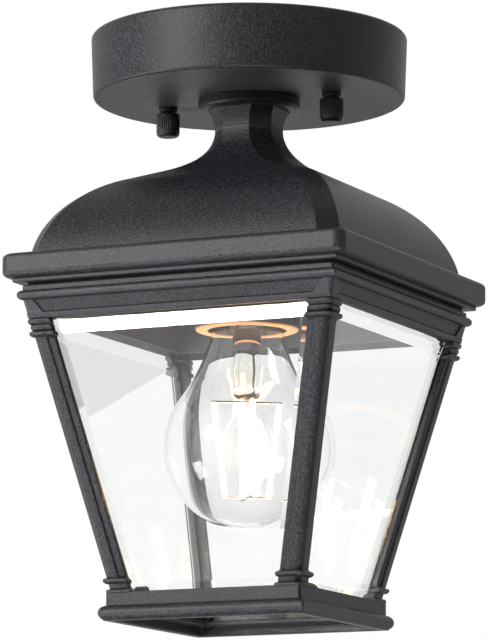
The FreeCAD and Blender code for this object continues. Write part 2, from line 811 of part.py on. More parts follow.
def post(label, heading):
    """Leaning corner post with rings at both ends and a rebate behind for the glass."""
    outer = post_outline(1)
    closed = outer + backwards(post_outline(-1))
    square = corner_posts(label + "_square", closed, heading, False)
    diagonal = [(ZERO, end_of(outer[0])[1])] + moved(outer, to_corner(S.post_corner))
    bevel = prism(label + "_bevel", [diagonal + [(ZERO, post_foot)]], heading + 45)
    rebate = corner_posts(label + "_rebate", [
        (ZERO, frame_under + 1),
        (behind_flange(frame_under + 1), frame_under + 1),
        (behind_flange(post_foot - 1), post_foot - 1),
        (ZERO, post_foot - 1)], heading, False)
    return cut(label, common(label + "_outside", [square, bevel]), rebate)


def bottom_frame():
    """Square sill, open in the middle, with a ledge for the glass and seats for the posts."""
    middle = (band_under + sill_under) / 2
    outside = four_sided("sill_outside", [
        (S.band_half, band_top),
        (S.band_half, band_under),
        ((S.sill_half, middle), (S.base_half, sill_under)),
        (S.base_half, base_under)])
    inside = four_sided("sill_inside", [
        (S.ledge_half, band_top + 1),
        (S.ledge_half, ledge),
        (S.opening_half, ledge),
        (S.opening_half, ledge_under),
        (S.rim_half, ledge_under),
        (S.rim_half, base_under - 1)])
    seat_inner = S.cage_foot_half - S.post_width - S.ring_large
    far = S.band_half + S.post_width
    seats = corner_posts("sill_seats", [
        (seat_inner, post_foot), (far, post_foot), (far, band_top + 1), (seat_inner, band_top + 1)], 0, True)
    return cut("bottom_frame", outside, fuse("sill_cuts", [inside, seats]))


def glass_pane(label, heading):
    """Flat pane behind the posts, mitred to its neighbours, standing on the ledge."""
    slant = taper * taper / 2 + 1
    through = S.glass_thickness * slant
    top = rebate_top - S.glass_play
    deep = S.glass_thickness - S.glass_edge

    def face(level, depth):
        return (behind_flange(level, S.glass_play) - depth, level)
    slab = prism(label + "_slab", [[
        face(top, deep), face(top - S.glass_bevel, ZERO), face(ledge + S.glass_bevel, ZERO),
        face(ledge, deep), face(ledge, through), face(top, through)]], heading)
    sketch = doc.addObject("Sketcher::SketchObject", label + "_plan_sketch")
    far = S.cage_half
    draw(sketch, [(S.glass_mitre, ZERO), (far, S.glass_mitre - far), (far, far - S.glass_mitre)])
    sketch.setExpression("Placement.Base.z", (ledge - 1).formula)
    wedge = doc.addObject("Part::Extrusion", label + "_wedge")
    wedge.Base = sketch
    wedge.DirMode = "Normal"
    wedge.Solid = True
    wedge.setExpression("LengthFwd", (top - ledge + 2).formula)
    wedge.Placement = FreeCAD.Placement(FreeCAD.Vector(), FreeCAD.Rotation(FreeCAD.Vector(0, 0, 1), heading))
    return common(label, [slab, wedge] + side_bevels(label, deep, heading))


def side_bevels(label, deep, heading):
    """Slopes that take the bevel down both leaning edges of a pane."""
    angle = math.atan2(deep.number, (S.glass_bevel - deep).number)
    far = math.cos(angle) + math.sin(angle)
    near = (S.glass_mitre + S.glass_bevel) * math.sin(angle)

    def slope(level):
        return (behind_flange(level, S.glass_play) * far - near, level)
    outline = [(ZERO, rebate_top + 1), slope(rebate_top + 1), slope(ledge - 1), (ZERO, ledge - 1)]
    return [prism(f"{label}_bevel_{name}", [outline], heading + math.degrees(angle) * side)
            for name, side in (("left", 1), ("right", -1))]


def glass_clips():
    """One small clip a side, on the band beside the left post, against the glass."""
    reach = S.cage_foot_half - S.post_width - S.ring_large
    face = behind_flange(band_top + S.clip_height)
    clips = []
    for turn in range(4):
        piece = block(f"glass_clip_{turn}", S.band_half - face, S.clip_length, S.clip_height,
                      (S.band_half + face) / 2, S.clip_length / 2 - reach, band_top)
        clips.append(turn_about_axis(f"glass_clip_turned_{turn}", piece, turn))
    return group("glass_clips", clips)


def turn_about_axis(label, piece, quarter_turns):
    turned_piece = doc.addObject("Part::Compound", label)
    turned_piece.Links = [piece]
    turned_piece.Placement = FreeCAD.Placement(
        FreeCAD.Vector(), FreeCAD.Rotation(FreeCAD.Vector(0, 0, 1), 90 * quarter_turns))
    return turned_piece


# ---- lampholder ----

contact_seat = tube_bottom - S.holder_roof
shell_rim = contact_seat - S.contact_thickness - S.shell_length


def thread_wave(middle, start, turns, step):
    """A rounded thread seen from the side: half a pitch out, half a pitch in, turn after turn."""
    wave = [(middle, start)]
    half = S.thread_pitch / 2
    for index in range(turns * 2):
        swing = S.thread_depth / 2 * (1 if index % 2 else -1)
        level = start + half * (step * index)
        wave.append(((middle + swing, level + half * (step / 2)), (middle, level + half * step)))
    return wave


def lampholder_cap():
    """Metal cap, tapped for the threaded tube, on top of the ceramic."""
    top = tube_bottom + S.holder_cap_height
    return turned("lampholder_cap", [
        (S.tube_radius + S.thread_play, tube_bottom),
        (S.holder_cap_radius, tube_bottom),
        (S.holder_cap_radius, top - S.holder_cap_height / 2),
        rounded((S.holder_cap_radius, top), (S.holder_cap_radius, top - S.holder_cap_height / 2),
                (S.holder_cap_radius - S.holder_cap_height / 2, top)),
        (S.tube_radius + S.thread_play, top)])


def lampholder_body():
    """Ceramic cup for the screw shell, with two lead holes through its top."""
    bore = S.shell_radius + S.thread_depth + S.shell_wall + S.thread_play
    edge = S.cap_round
    body = turned("lampholder_body", [
        (ZERO, contact_seat),
        (bore, contact_seat),
        (bore, holder_under),
        (S.holder_radius - edge, holder_under),
        rounded((S.holder_radius, holder_under), (S.holder_radius - edge, holder_under),
                (S.holder_radius, holder_under + edge)),
        (S.holder_radius, tube_bottom - edge),
        rounded((S.holder_radius, tube_bottom), (S.holder_radius, tube_bottom - edge),
                (S.holder_radius - edge, tube_bottom)),
        (ZERO, tube_bottom)])
    return body


def lampholder_shell():
    inner = S.shell_radius + S.thread_depth / 2
    turns = COUNTS["thread_turns"]
    start = shell_rim + S.shell_length - S.thread_pitch
    wave = thread_wave(inner, start, turns, -1)
    outer_wave = moved(wave, lambda point: (point[0] + S.shell_wall, point[1]))
    top = contact_seat - S.contact_thickness
    return turned("lampholder_shell", [(inner, top)] + wave + [(inner, shell_rim)]
                  + [(inner + S.shell_wall, shell_rim)] + backwards(outer_wave)
                  + [(inner + S.shell_wall, top)])


def lampholder_contact():
    """Disc and tongue that meet the tip of the bulb, clear of the screw shell."""
    return cylinder("lampholder_contact", S.tip_radius * 1.6, S.contact_thickness,
                    ZERO, ZERO, contact_seat - S.contact_thickness)


# ---- bulb ----

bulb_top = contact_seat - S.contact_thickness - S.contact_play
bulb_low = bulb_top - S.bulb_length
bulb_centre = bulb_low + S.bulb_radius
insulator_top = bulb_top - S.tip_height
sleeve_top = insulator_top - S.insulator_height
sleeve_low = sleeve_top - S.bulb_base_length
stem_low = bulb_centre + S.stem_rise
stem_length = sleeve_low - stem_low
rods_low = bulb_centre - S.filament_drop
ROD_LEAN = math.asin((S.filament_ring - S.filament_foot_ring).number / S.filament_length.number)
rods_top = rods_low + S.filament_length * math.cos(ROD_LEAN)


def bulb_tip():
    return turned("bulb_tip", [
        (ZERO, insulator_top),
        (S.tip_radius, insulator_top),
        rounded((S.tip_radius, bulb_top), (S.tip_radius, insulator_top),
                (S.tip_radius - S.tip_height, bulb_top)),
        (ZERO, bulb_top)])


def bulb_insulator():
    low = S.base_radius - S.thread_depth - S.bulb_base_wall
    return turned("bulb_insulator", [
        (ZERO, sleeve_top), (low, sleeve_top),
        (low, sleeve_top + S.insulator_height * 0.2),
        (S.tip_radius + 1, insulator_top), (ZERO, insulator_top)])


def bulb_base():
    """Threaded sleeve of the bulb, thin and open at both ends."""
    middle = S.base_radius - S.thread_depth / 2
    inner = S.base_radius - S.thread_depth - S.bulb_base_wall
    start = sleeve_top - S.thread_pitch * 0.3
    wave = thread_wave(middle, start, COUNTS["thread_turns"], -1)
    return turned("bulb_base", [(inner, sleeve_top), (middle, sleeve_top)] + wave
                  + [(middle, sleeve_low), (inner, sleeve_low)])


BULB_FLAT = 0.06    # angle, in radians, of the flat middle of the bulb's end


def bulb_outline(wall):
    """Neck, hollow flank and round end; wall is how far the outline is set in."""
    radius = S.bulb_radius - wall
    neck = S.bulb_neck_radius - wall
    join = (radius * 0.8, bulb_centre + radius * 0.6)
    spread = join[0] - neck
    fall = sleeve_low - join[1]
    side = (radius * HALF_ROOT, bulb_centre - radius * HALF_ROOT)
    end_level = bulb_centre - radius * math.cos(BULB_FLAT)
    return [
        (neck, sleeve_low + S.neck_in_base),
        (neck, sleeve_low),
        ((neck + spread * 0.314, sleeve_low - fall * 0.527), join),
        ((radius, bulb_centre), side),
        ((radius * math.sin(math.pi / 8), bulb_centre - radius * math.cos(math.pi / 8)),
         (radius * math.sin(BULB_FLAT), end_level)),
        (ZERO, end_level)]


def bulb_glass():
    return turned("bulb_glass", bulb_outline(ZERO) + backwards(bulb_outline(S.bulb_wall)))


def bulb_stem():
    """Glass flare that closes the neck and narrows to the stem carrying the light rods."""
    seat = S.bulb_neck_radius - S.bulb_wall - S.stud_play
    top = sleeve_low + S.neck_in_base
    return turned("bulb_stem", [
        (ZERO, top), (seat, top), (seat, top - 1),
        ((S.stem_radius * 1.5, top - stem_length * 0.22), (S.stem_radius, top - stem_length * 0.5)),
        (S.stem_radius, stem_low + S.stem_radius),
        (S.stem_radius * 0.7, stem_low),
        (ZERO, stem_low)])


FIRST_ROD = 35      # degrees from X


def rod_angle(index):
    return math.radians(FIRST_ROD + 360 * index / COUNTS["filament_count"])


def leaning(piece, angle, lean):
    """Turn an upright piece so that it leans outwards at an angle round the axis."""
    heading = FreeCAD.Vector(math.cos(angle) * math.sin(lean), math.sin(angle) * math.sin(lean), math.cos(lean))
    base = piece.Placement.Base
    piece.Placement = FreeCAD.Placement(base, FreeCAD.Rotation(FreeCAD.Vector(0, 0, 1), heading))
    return piece


def bulb_light_rods():
    """Thin straight rods round the axis, wider apart at their heads than at their feet."""
    rods = []
    for index in range(COUNTS["filament_count"]):
        angle = rod_angle(index)
        rod = cylinder(f"light_rod_{index}", S.filament_radius, S.filament_length,
                       S.filament_foot_ring * math.cos(angle), S.filament_foot_ring * math.sin(angle), rods_low)
        rods.append(leaning(rod, angle, ROD_LEAN))
    return group("bulb_light_rods", rods)


def bulb_wires():
    """Middle wire under the stem, with an arm to the head and to the foot of each light rod."""
    wire = S.wire_radius
    high = rods_top + S.wire_gap + wire
    low = rods_low - S.wire_gap - wire
    pieces = [cylinder("wire_middle", wire, stem_low - low, ZERO, ZERO, low)]
    for name, level, ring_radius in (("high", high, S.filament_ring), ("low", low, S.filament_foot_ring)):
        for index in range(COUNTS["filament_count"]):
            arm = cylinder(f"wire_arm_{name}_{index}", wire, ring_radius + S.filament_radius, ZERO, ZERO, level)
            pieces.append(leaning(arm, rod_angle(index), math.pi / 2))
    return fuse("bulb_wires", pieces)


# ---- wiring held inside ----

lead_bend = S.lead_radius * 3.5
lead_level = tube_top + lead_bend + S.lead_radius
lead_run = S.flange_radius - lead_bend - S.lead_spread


def lead(label, side):
    """From the lampholder straight up the threaded tube, then over its end to a connector."""
    along = S.lead_spread * side
    far = along + lead_bend * side
    rise = cylinder(label + "_rise", S.lead_radius, lead_level - lead_bend - tube_bottom,
                    ZERO, along, tube_bottom)
    elbow = doc.addObject("Part::Torus", label + "_elbow")
    elbow.setExpression("Radius1", lead_bend.formula)
    elbow.setExpression("Radius2", S.lead_radius.formula)
    elbow.Angle3 = 90
    upright = FreeCAD.Rotation(FreeCAD.Vector(1, 0, 0), 90)
    quarter = FreeCAD.Rotation(FreeCAD.Vector(0, 0, 1), -90 * side)
    elbow.Placement = FreeCAD.Placement(FreeCAD.Vector(), quarter.multiply(upright))
    place(elbow, ZERO, far, lead_level - lead_bend)
    run = cylinder(label + "_run", S.lead_radius, lead_run)
    run.Placement = FreeCAD.Placement(
        FreeCAD.Vector(), FreeCAD.Rotation(FreeCAD.Vector(1, 0, 0), -90 * side))
    place(run, ZERO, far, lead_level)
    return fuse(label, [rise, elbow, run])


def wire_connectors():
    """Twist-on connectors, one on the end of each lead, inside the canopy."""
    connectors = []
    for name, side in (("a", 1), ("b", -1)):
        mouth = (S.lead_spread + lead_bend + lead_run) * side
        cone = doc.addObject("Part::Cone", "connector_" + name)
        cone.setExpression("Radius1", S.connector_radius.formula)
        cone.setExpression("Radius2", (S.connector_radius * 0.62).formula)
        cone.setExpression("Height", S.connector_length.formula)
        cone.Placement = FreeCAD.Placement(
            FreeCAD.Vector(), FreeCAD.Rotation(FreeCAD.Vector(1, 0, 0), -90 * side))
        connectors.append(place(cone, ZERO, mouth, lead_level))
    return group("wire_connectors", connectors)


# ---- assembly ----

canopy_nut_seat = canopy_floor + S.washer_thickness
roof_nut_seat = crown_under - S.washer_thickness - S.tube_nut_height

PIECES = [
    crossbar(),
    mounting_studs(),
    stud_lock_nuts(),
    ground_screw(),
    canopy(),
    cap_nut("cap_nut_left", -1),
    cap_nut("cap_nut_right", 1),
    threaded_tube(),
    washer("canopy_washer", canopy_floor),
    hexagon_nut("canopy_nut", canopy_nut_seat),
    neck_collar(),
    roof(),
    washer("roof_washer", crown_under - S.washer_thickness),
    hexagon_nut("roof_nut", roof_nut_seat),
    top_frame(),
    roof_screws(),
    bottom_frame(),
    glass_clips(),
    lampholder_cap(),
    lampholder_body(),
    lampholder_shell(),
    lampholder_contact(),
    bulb_tip(),
    bulb_insulator(),
    bulb_base(),
    bulb_glass(),
    bulb_stem(),
    bulb_light_rods(),
    bulb_wires(),
    lead("lead_black", 1),
    lead("lead_white", -1),
    wire_connectors(),
]
SIDES = ("right", "back", "left", "front")
for quarter, side in enumerate(SIDES):
    PIECES.append(glass_pane("glass_" + side, 90 * quarter))
CORNERS = ("back_right", "back_left", "front_left", "front_right")
for quarter, corner in enumerate(CORNERS):
    PIECES.append(post("post_" + corner, 90 * quarter))

doc.recompute()
failed = [item.Name for item in doc.Objects if {"Invalid", "Error"} & set(item.State)]
if failed:
    raise RuntimeError("failed: " + ", ".join(failed))
for piece in PIECES:
    if piece.Shape.isNull() or not piece.Shape.isValid() or not piece.Shape.Solids:
        raise RuntimeError(piece.Label + " has no valid solid")

os.makedirs("parts", exist_ok=True)
for piece in PIECES:
    piece.Label = piece.Name
    piece.Shape.exportStep(os.path.join("parts", piece.Label + ".step"))
    box = piece.Shape.BoundBox
    print(f"{piece.Label:20s} {len(piece.Shape.Solids)} solids, volume {piece.Shape.Volume:9.1f},"
          f" z {box.ZMin:7.2f} to {box.ZMax:7.2f}, x {box.XMin:6.2f} to {box.XMax:6.2f}")
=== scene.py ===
import math

import bmesh
import bpy
from mathutils import Euler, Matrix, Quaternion, Vector


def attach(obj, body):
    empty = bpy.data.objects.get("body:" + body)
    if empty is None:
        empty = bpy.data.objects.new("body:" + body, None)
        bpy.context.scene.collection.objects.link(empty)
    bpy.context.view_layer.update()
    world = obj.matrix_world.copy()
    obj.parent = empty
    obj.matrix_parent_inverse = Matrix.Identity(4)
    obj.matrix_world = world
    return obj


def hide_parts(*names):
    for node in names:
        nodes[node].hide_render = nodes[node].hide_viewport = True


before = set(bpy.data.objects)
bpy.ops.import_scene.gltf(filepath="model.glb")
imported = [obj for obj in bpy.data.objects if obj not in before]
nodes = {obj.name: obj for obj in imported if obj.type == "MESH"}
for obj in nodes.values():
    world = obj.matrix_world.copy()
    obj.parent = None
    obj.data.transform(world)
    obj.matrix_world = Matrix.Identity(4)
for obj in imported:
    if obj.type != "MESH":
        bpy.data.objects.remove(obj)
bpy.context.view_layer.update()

# Porch ceiling lantern, from the ceiling down. The frame is in metres, with its origin at the
# middle of the ceiling face; every size below is in millimetres until a mesh is made.
scene = bpy.context.scene
MM = 0.001


# ---- camera ----
# A long lens a metre and a half away, a little below the lantern and turned towards its corner,
# so that the canopy's underside and the open bottom both show.
camera = bpy.data.objects.new("camera", bpy.data.cameras.new("camera"))
scene.collection.objects.link(camera)
camera.location = (0.6508, -1.3830, -0.3501)
camera.rotation_mode = "QUATERNION"
camera.rotation_quaternion = (Euler((math.radians(99.12), 0, math.radians(25.2))).to_quaternion()
                              @ Quaternion((0, 0, 1), 0.003))
camera.data.sensor_width = 36
camera.data.lens = 240
camera.data.shift_x = -0.007
camera.data.clip_start = 0.1
scene.camera = camera
scene.view_settings.view_transform = "Standard"


# ---- studio ----
# A plain pale floor below, soft lights high and low on the left of the camera and one from below,
# and an even surround that looks white behind the lantern and in its reflections.
def colour(code):
    """An sRGB hex code as the linear colour that a shader takes."""
    shares = [int(code[place:place + 2], 16) / 255 for place in (1, 3, 5)]
    return tuple(s / 12.92 if s <= 0.04045 else ((s + 0.055) / 1.055) ** 2.4 for s in shares) + (1.0,)


def add(tree, kind, sockets=None, **settings):
    """One node with its settings; each of its sockets takes a value or another node's output."""
    made = tree.nodes.new(kind)
    for name, value in settings.items():
        setattr(made, name, value)
    for name, value in (sockets or {}).items():
        if isinstance(value, bpy.types.NodeSocket):
            tree.links.new(value, made.inputs[name])
        else:
            made.inputs[name].default_value = value
    return made


world = bpy.data.worlds.new("pale_studio")
world.use_nodes = True
scene.world = world
world.node_tree.nodes.clear()
seen = add(world.node_tree, "ShaderNodeLightPath")
mirrored_or_seen = add(world.node_tree, "ShaderNodeMath", operation="MAXIMUM",
                       sockets={0: seen.outputs["Is Camera Ray"], 1: seen.outputs["Is Glossy Ray"]})
white_rays = add(world.node_tree, "ShaderNodeMath", operation="MAXIMUM",
                 sockets={0: mirrored_or_seen.outputs[0], 1: seen.outputs["Is Transmission Ray"]})
soft_fill = add(world.node_tree, "ShaderNodeBackground",
                sockets={"Color": colour("#f6f7f9"), "Strength": 0.14})
white_surround = add(world.node_tree, "ShaderNodeBackground",
                     sockets={"Color": colour("#ffffff"), "Strength": 1.0})
both = add(world.node_tree, "ShaderNodeMixShader",
           sockets={0: white_rays.outputs[0], 1: soft_fill.outputs[0], 2: white_surround.outputs[0]})
add(world.node_tree, "ShaderNodeOutputWorld", sockets={"Surface": both.outputs[0]})

LANTERN_MIDDLE = Vector((0, 0, -0.11))
for name, place, size, watts in (
        ("light_front", (-0.72, -1.42, 0.3), 0.45, 46.0),
        ("light_left", (-1.1, -0.75, -0.8), 0.5, 30.0),
        ("light_low", (0.35, -0.4, -1.25), 0.5, 20.0)):
    lamp = bpy.data.objects.new(name, bpy.data.lights.new(name, "AREA"))
    scene.collection.objects.link(lamp)
    lamp.data.size = size
    lamp.data.energy = watts
    lamp.location = place
    lamp.rotation_mode = "QUATERNION"
    lamp.rotation_quaternion = (LANTERN_MIDDLE - lamp.location).to_track_quat("-Z", "Y")

FLOOR_LEVEL = -2.2
FLOOR_HALF = 4
floor_mesh = bpy.data.meshes.new("floor")
floor_mesh.from_pydata([(x * FLOOR_HALF, y * FLOOR_HALF, FLOOR_LEVEL)
                        for x, y in ((-1, -1), (1, -1), (1, 1), (-1, 1))], [], [(0, 1, 2, 3)])
floor = bpy.data.objects.new("floor", floor_mesh)
scene.collection.objects.link(floor)
pale_paper = bpy.data.materials.new("pale_paper_floor")
pale_paper.use_nodes = True
pale_paper.node_tree.nodes["Principled BSDF"].inputs["Base Color"].default_value = colour("#f2f2f0")
pale_paper.node_tree.nodes["Principled BSDF"].inputs["Roughness"].default_value = 0.9
floor.data.materials.append(pale_paper)


# ---- canopy ----
# A round pan pressed from 1.5 mm steel, with a rolled rim against the ceiling. It is coated with
# a black powder that cures to a fine sand texture.
CANOPY_UNDER = -23.4
CANOPY_WALL = 1.5
CANOPY_FLOOR = CANOPY_UNDER + CANOPY_WALL
TUBE_HOLE = 5.2


def arc(start, way, end, steps=6):
    """Points after start, on the circle through three points, up to end."""
    (ax, ay), (bx, by), (cx, cy) = start, way, end
    turn = 2 * (ax * (by - cy) + bx * (cy - ay) + cx * (ay - by))
    squares = (ax * ax + ay * ay, bx * bx + by * by, cx * cx + cy * cy)
    mx = (squares[0] * (by - cy) + squares[1] * (cy - ay) + squares[2] * (ay - by)) / turn
    my = (squares[0] * (cx - bx) + squares[1] * (ax - cx) + squares[2] * (bx - ax)) / turn
    radius = math.hypot(ax - mx, ay - my)
    first = math.atan2(ay - my, ax - mx)
    sweep = (math.atan2(cy - my, cx - mx) - first) % (2 * math.pi)
    if turn < 0:
        sweep -= 2 * math.pi
    return [(mx + radius * math.cos(first + sweep * step / steps),
             my + radius * math.sin(first + sweep * step / steps)) for step in range(1, steps + 1)]


def eased(corners, steps=3):
    """A closed outline whose corners, given as (x, y, radius), are rounded where they have a radius."""
    outline = []
    for index, (x, y, radius) in enumerate(corners):
        corner = Vector((x, y))
        back = Vector(corners[index - 1][:2]) - corner
        on = Vector(corners[(index + 1) % len(corners)][:2]) - corner
        if radius == 0:
            outline.append((x, y))
            continue
        half_angle = back.angle(on) / 2
        reach = min(radius / math.tan(half_angle), back.length * 0.49, on.length * 0.49)
        inward = (back.normalized() + on.normalized()).normalized()
        middle = corner + inward * (reach / math.cos(half_angle))
        first = corner + back.normalized() * reach - middle
        last = corner + on.normalized() * reach - middle
        for step in range(steps + 1):
            outline.append(tuple(middle + first.slerp(last, step / steps) * first.length))
    return outline


def closed_skin(rings):
    """Faces between rings of equally many points, the last ring joined to the first."""
    count = len(rings[0])
    points = [point for ring in rings for point in ring]
    faces = []
    for ring in range(len(rings)):
        after = (ring + 1) % len(rings)
        for place in range(count):
            beside = (place + 1) % count
            faces.append((ring * count + place, ring * count + beside,
                          after * count + beside, after * count + place))
    return points, faces


def piece(name, skins, body, finish, sharp=35):
    """A smooth-shaded piece made of closed skins in millimetres, riding on a body of the frame."""
    shape = bmesh.new()
    for points, faces in skins:
        corners = [shape.verts.new([c * MM for c in point]) for point in points]
        for face in faces:
            shape.faces.new([corners[index] for index in face])
    bmesh.ops.remove_doubles(shape, verts=shape.verts, dist=1e-7)
    loose = [edge for edge in shape.edges if not edge.link_faces]
    bmesh.ops.delete(shape, geom=loose, context="EDGES")
    bmesh.ops.recalc_face_normals(shape, faces=shape.faces)
    mesh = bpy.data.meshes.new(name)
    shape.to_mesh(mesh)
    shape.free()
    mesh.shade_smooth()
    mesh.set_sharp_from_angle(angle=math.radians(sharp))
    mesh.materials.append(finish)
    made = bpy.data.objects.new(name, mesh)
    scene.collection.objects.link(made)
    flat_faces = made.modifiers.new("flat faces stay flat", "WEIGHTED_NORMAL")
    flat_faces.keep_sharp = True
    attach(made, body)
    return made


def turned(outline, segments=128, middle=(0, 0)):
    """A closed skin turned about an upright axis from an outline of (radius, height)."""
    across, along = middle
    turns = [2 * math.pi * step / segments for step in range(segments)]
    return closed_skin([[(across + radius * math.cos(turn), along + radius * math.sin(turn), height)
                         for turn in turns] for radius, height in outline])


def finish_for(name, roughness, **values):
    """A material, its node tree and its Principled shader, with the values that are even all over."""
    made = bpy.data.materials.new(name)
    made.use_nodes = True
    shader = made.node_tree.nodes["Principled BSDF"]
    shader.inputs["Roughness"].default_value = roughness
    for socket, value in values.items():
        shader.inputs[socket.replace("_", " ")].default_value = value
    return made, made.node_tree, shader


def sand_powder_coat(name, dark, pale, thin_edge_highlight, grit_mm, roughness):
    """Black powder coat cured to a sand texture: a satin film over grit, paler on the grit's tips.
    Sharp edges are painted paler, where the film thins: partly a painted edge highlight. Real grit is
    about 0.2 mm; it is drawn coarser, so that it shows at this distance."""
    made, tree, shader = finish_for(name, roughness, Specular_IOR_Level=0.16)
    place = add(tree, "ShaderNodeTexCoord").outputs["Object"]
    grit = add(tree, "ShaderNodeTexNoise",
               {"Vector": place, "Scale": 1 / (grit_mm * MM), "Detail": 3.0, "Roughness": 0.6})
    film = add(tree, "ShaderNodeTexNoise",
               {"Vector": place, "Scale": 1 / (28 * MM), "Detail": 2.0, "Roughness": 0.5})
    tips = add(tree, "ShaderNodeMapRange",
               {"Value": grit.outputs["Fac"], "From Min": 0.44, "From Max": 0.68})
    tint = add(tree, "ShaderNodeMix", data_type="RGBA",
               sockets={0: tips.outputs[0], 6: colour(dark), 7: colour(pale)})
    thin = add(tree, "ShaderNodeMapRange",
               {"Value": film.outputs["Fac"], "From Min": 0.3, "From Max": 0.7,
                "To Min": 0.85, "To Max": 1.12})
    # Sharp edges are painted paler: a painted edge highlight, where the film is also thinner.
    edges = add(tree, "ShaderNodeMapRange",
                {"Value": add(tree, "ShaderNodeNewGeometry").outputs["Pointiness"],
                 "From Min": 0.52, "From Max": 0.62, "To Max": 0.6})
    tint_with_edge_highlight = add(tree, "ShaderNodeMix", data_type="RGBA",
               sockets={0: edges.outputs[0], 6: tint.outputs[2], 7: colour(thin_edge_highlight)})
    shade = add(tree, "ShaderNodeHueSaturation", {"Color": tint_with_edge_highlight.outputs[2], "Value": thin.outputs[0]})
    tree.links.new(shade.outputs[0], shader.inputs["Base Color"])
    satin = add(tree, "ShaderNodeMapRange",
                {"Value": grit.outputs["Fac"], "From Min": 0.3, "From Max": 0.7,
                 "To Min": roughness - 0.07, "To Max": roughness + 0.09})
    tree.links.new(satin.outputs[0], shader.inputs["Roughness"])
    relief = add(tree, "ShaderNodeBump",
                 {"Height": grit.outputs["Fac"], "Strength": 0.8, "Distance": 0.22 * MM})
    tree.links.new(relief.outputs[0], shader.inputs["Normal"])
    return made


black_steel = sand_powder_coat("sand_powder_coat_on_pressed_steel", "#0e0d10", "#2e2d32", "#57565b",
                               0.7, 0.44)
canopy = piece("canopy_pan", [turned(eased([
    (TUBE_HOLE, CANOPY_UNDER, 0), (57.0, CANOPY_UNDER, 1.2), (57.9, 0, 2.4), (54.4, 0, 0),
    (54.4, -CANOPY_WALL, 0), (56.4, -CANOPY_WALL, 1.0), (55.5, CANOPY_FLOOR, 0.6),
    (TUBE_HOLE, CANOPY_FLOOR, 0)], 5), 192)], "lantern", black_steel)
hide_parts("canopy")


# ---- cap nuts ----
# Two blind knurled nuts of black coated brass, turned on to the canopy's studs by hand: a ring
# against the pan, a narrow waist, and a barrel with a domed end.
black_cast = sand_powder_coat("sand_powder_coat_on_cast_metal", "#0d0c0f", "#2b2a2f", "#535257",
                              0.7, 0.42)
KNURLS = 34
KNURL_DEEP = 0.28
KNURL_TOP = -26.6
KNURL_LOW = -31.8
KNURL_FADE = 0.6
STUD_REACH = 33.0
STUD_BORE = 2.1
NUT_RING = 3.5
NUT_WAIST = 2.9
BARREL = 4.3
BARREL_LOW = -34.4
BORE_END = -29.85


def knurled(skin, middle):
    """Grooves straight down a barrel, fading out at both ends."""
    points, faces = skin
    cut = []
    for x, y, z in points:
        out = Vector((x - middle, y))
        share = 0.0
        if out.length > BARREL - 0.3:
            share = max(0.0, min(1.0, (KNURL_TOP - z) / KNURL_FADE, (z - KNURL_LOW) / KNURL_FADE))
        groove = KNURL_DEEP * share * (0.5 - 0.5 * math.cos(KNURLS * math.atan2(out.y, out.x)))
        if out.length > 0:
            out *= (out.length - groove) / out.length
        cut.append((middle + out.x, out.y, z))
    return cut, faces


for name, middle in (("cap_nut_left", -STUD_REACH), ("cap_nut_right", STUD_REACH)):
    outline = eased([
        (STUD_BORE, CANOPY_UNDER, 0), (NUT_RING, CANOPY_UNDER, 0.2), (NUT_RING, -25.0, 0.5),
        (NUT_WAIST, -25.0, 0.1), (NUT_WAIST, -25.8, 0.1), (BARREL, -25.8, 1.3), (BARREL, -26.4, 0),
        (BARREL, -28.0, 0), (BARREL, -30.0, 0), (BARREL, -31.2, 0), (BARREL, BARREL_LOW, 3.0),
        (0, BARREL_LOW, 0), (0, BORE_END, 0), (STUD_BORE, BORE_END, 0)], 5)
    nut = piece(name + "_knurled", [knurled(turned(outline, KNURLS * 6, (middle, 0)), middle)],
                name, black_cast, 60)
    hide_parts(name)


# ---- neck ----
# One casting under the canopy: a round foot, then a short square neck with bevelled corners that
# narrows to the roof. The threaded tube inside clamps it between the two.
FOOT_RADIUS = 18.6
FLANGE_UNDER = -27.7
SQUARE_TOP = -27.0
CROWN = -34.6
CORNER_LEG = 6.0


def around(sections):
    """Level rings of a four-sided piece: (half width, height, corner leg, softness of its edges).
    A section with a leg of None is a circle of that radius instead."""
    rings = []
    for half, height, leg, soft in sections:
        corners = []
        for quarter in range(4):
            turn = math.radians(90 * quarter)
            for across, along in ((half, half - (leg or 1)), (half - (leg or 1), half)):
                corners.append((across * math.cos(turn) - along * math.sin(turn),
                                across * math.sin(turn) + along * math.cos(turn), soft))
        plan = eased(corners)
        if leg is None:
            plan = [tuple(Vector(point).normalized() * half) for point in plan]
        rings.append([(x, y, height) for x, y in plan])
    return rings


def square_ring(outline, leg, soft):
    """The rings of an outline of (half width, height) taken round all four sides."""
    return around([(half, height, leg, soft) for half, height in outline])


NECK_LOW = CROWN + 0.05
flare = [(13.2, SQUARE_TOP), (13.2, -27.9)] + arc((13.2, -27.9), (11.87, -30.9), (11.3, -34.35), 8)
neck_square = (around([(TUBE_HOLE, NECK_LOW, None, 0.5), (TUBE_HOLE, SQUARE_TOP, None, 0.5)])
               + square_ring(flare, CORNER_LEG, 0.5) + square_ring([(11.1, NECK_LOW)], CORNER_LEG, 0.5))
neck_foot = turned(eased([(TUBE_HOLE, CANOPY_UNDER, 0), (FOOT_RADIUS, CANOPY_UNDER, 0.3),
                          (FOOT_RADIUS, FLANGE_UNDER, 1.3), (TUBE_HOLE, FLANGE_UNDER, 0)], 5), 96)
neck = piece("neck_casting", [neck_foot, closed_skin(neck_square)], "lantern", black_cast)
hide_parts("neck_collar")


# ---- roof ----
# One hollow casting: four bell-curved sides with bevelled corners over a square fascia slab.
# Its edges are soft from the mould, and the same sand powder coat covers it inside and out.
NECK_HALF = 11.3
EAVE_HALF = 60.6
EAVE = -85.4
FASCIA_HALF = 66.9
FASCIA_UNDER = -94.7
FASCIA_LEG = 2.4
ROOF_WALL = 2.2
HOLLOW_LEG = 3.8
HOLLOW_TOP = -37.6
MOUTH_HALF = 51.8


